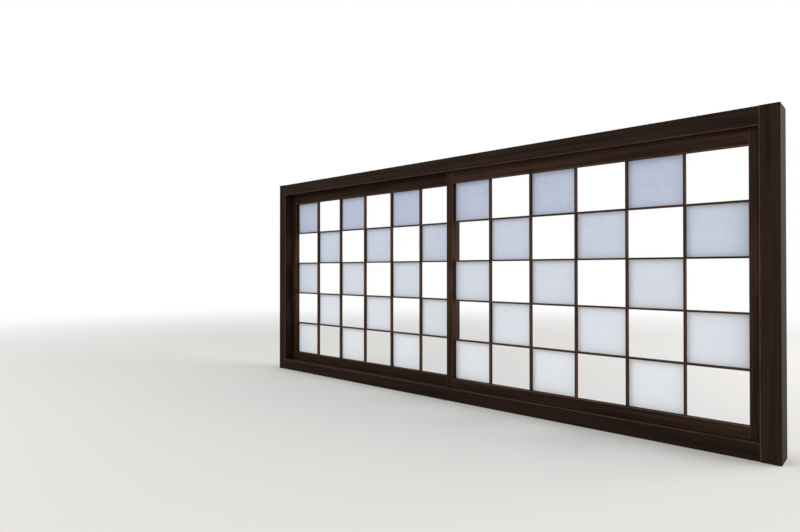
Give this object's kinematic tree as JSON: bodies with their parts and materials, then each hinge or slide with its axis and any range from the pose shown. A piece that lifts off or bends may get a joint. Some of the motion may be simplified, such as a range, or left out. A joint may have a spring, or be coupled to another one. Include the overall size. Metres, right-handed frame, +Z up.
{
  "type": "shoji sliding screen",
  "caption": "Shoji sliding window in a timber frame: lattice sashes with paper in every second cell, running past each other in a grooved head and sill.",
  "frame": {"origin": "middle of the underside of the sill, at floor level of the part", "axes": "+X to the right seen from the room, +Y outdoors, +Z up"},
  "size_m": [1.9978, 0.089, 0.8985],
  "materials": {
    "frame_timber": "dark stained softwood, rubbed to a low sheen",
    "sash_timber": "aged red brown cedar, planed, low sheen",
    "lattice_timber": "aged red brown cedar, planed, low sheen",
    "washi_paper": "matt, long fibres, lets light through"
  },
  "bodies": {
    "frame": {"frame_head": "frame_timber", "frame_jamb_left": "frame_timber", "frame_jamb_right": "frame_timber", "frame_sill": "frame_timber"},
    "front_sash": {"front_sash_bottom_rail": "sash_timber", "front_sash_cross_bar_1": "lattice_timber", "front_sash_cross_bar_2": "lattice_timber", "front_sash_cross_bar_3": "lattice_timber", "front_sash_cross_bar_4": "lattice_timber", "front_sash_paper_row1_column1": "washi_paper", "front_sash_paper_row1_column3": "washi_paper", "front_sash_paper_row1_column5": "washi_paper", "front_sash_paper_row2_column2": "washi_paper", "front_sash_paper_row2_column4": "washi_paper", "front_sash_paper_row2_column6": "washi_paper", "front_sash_paper_row3_column1": "washi_paper", "front_sash_paper_row3_column3": "washi_paper", "front_sash_paper_row3_column5": "washi_paper", "front_sash_paper_row4_column2": "washi_paper", "front_sash_paper_row4_column4": "washi_paper", "front_sash_paper_row4_column6": "washi_paper", "front_sash_paper_row5_column1": "washi_paper", "front_sash_paper_row5_column3": "washi_paper", "front_sash_paper_row5_column5": "washi_paper", "front_sash_stile_left": "sash_timber", "front_sash_stile_right": "sash_timber", "front_sash_top_rail": "sash_timber", "front_sash_upright_bar_1": "lattice_timber", "front_sash_upright_bar_2": "lattice_timber", "front_sash_upright_bar_3": "lattice_timber", "front_sash_upright_bar_4": "lattice_timber", "front_sash_upright_bar_5": "lattice_timber"},
    "rear_sash": {"rear_sash_bottom_rail": "sash_timber", "rear_sash_cross_bar_1": "lattice_timber", "rear_sash_cross_bar_2": "lattice_timber", "rear_sash_cross_bar_3": "lattice_timber", "rear_sash_cross_bar_4": "lattice_timber", "rear_sash_paper_row1_column1": "washi_paper", "rear_sash_paper_row1_column3": "washi_paper", "rear_sash_paper_row1_column5": "washi_paper", "rear_sash_paper_row2_column2": "washi_paper", "rear_sash_paper_row2_column4": "washi_paper", "rear_sash_paper_row2_column6": "washi_paper", "rear_sash_paper_row3_column1": "washi_paper", "rear_sash_paper_row3_column3": "washi_paper", "rear_sash_paper_row3_column5": "washi_paper", "rear_sash_paper_row4_column2": "washi_paper", "rear_sash_paper_row4_column4": "washi_paper", "rear_sash_paper_row4_column6": "washi_paper", "rear_sash_paper_row5_column1": "washi_paper", "rear_sash_paper_row5_column3": "washi_paper", "rear_sash_paper_row5_column5": "washi_paper", "rear_sash_stile_left": "sash_timber", "rear_sash_stile_right": "sash_timber", "rear_sash_top_rail": "sash_timber", "rear_sash_upright_bar_1": "lattice_timber", "rear_sash_upright_bar_2": "lattice_timber", "rear_sash_upright_bar_3": "lattice_timber", "rear_sash_upright_bar_4": "lattice_timber", "rear_sash_upright_bar_5": "lattice_timber"}
  },
  "joints": [
    {"name": "front_sash_slide", "type": "slide", "parent": "frame", "child": "front_sash", "axis": [-1, 0, 0], "range_m": [0, 0.943]},
    {"name": "rear_sash_slide", "type": "slide", "parent": "frame", "child": "rear_sash", "axis": [1, 0, 0], "range_m": [0, 0.943]}
  ]
}
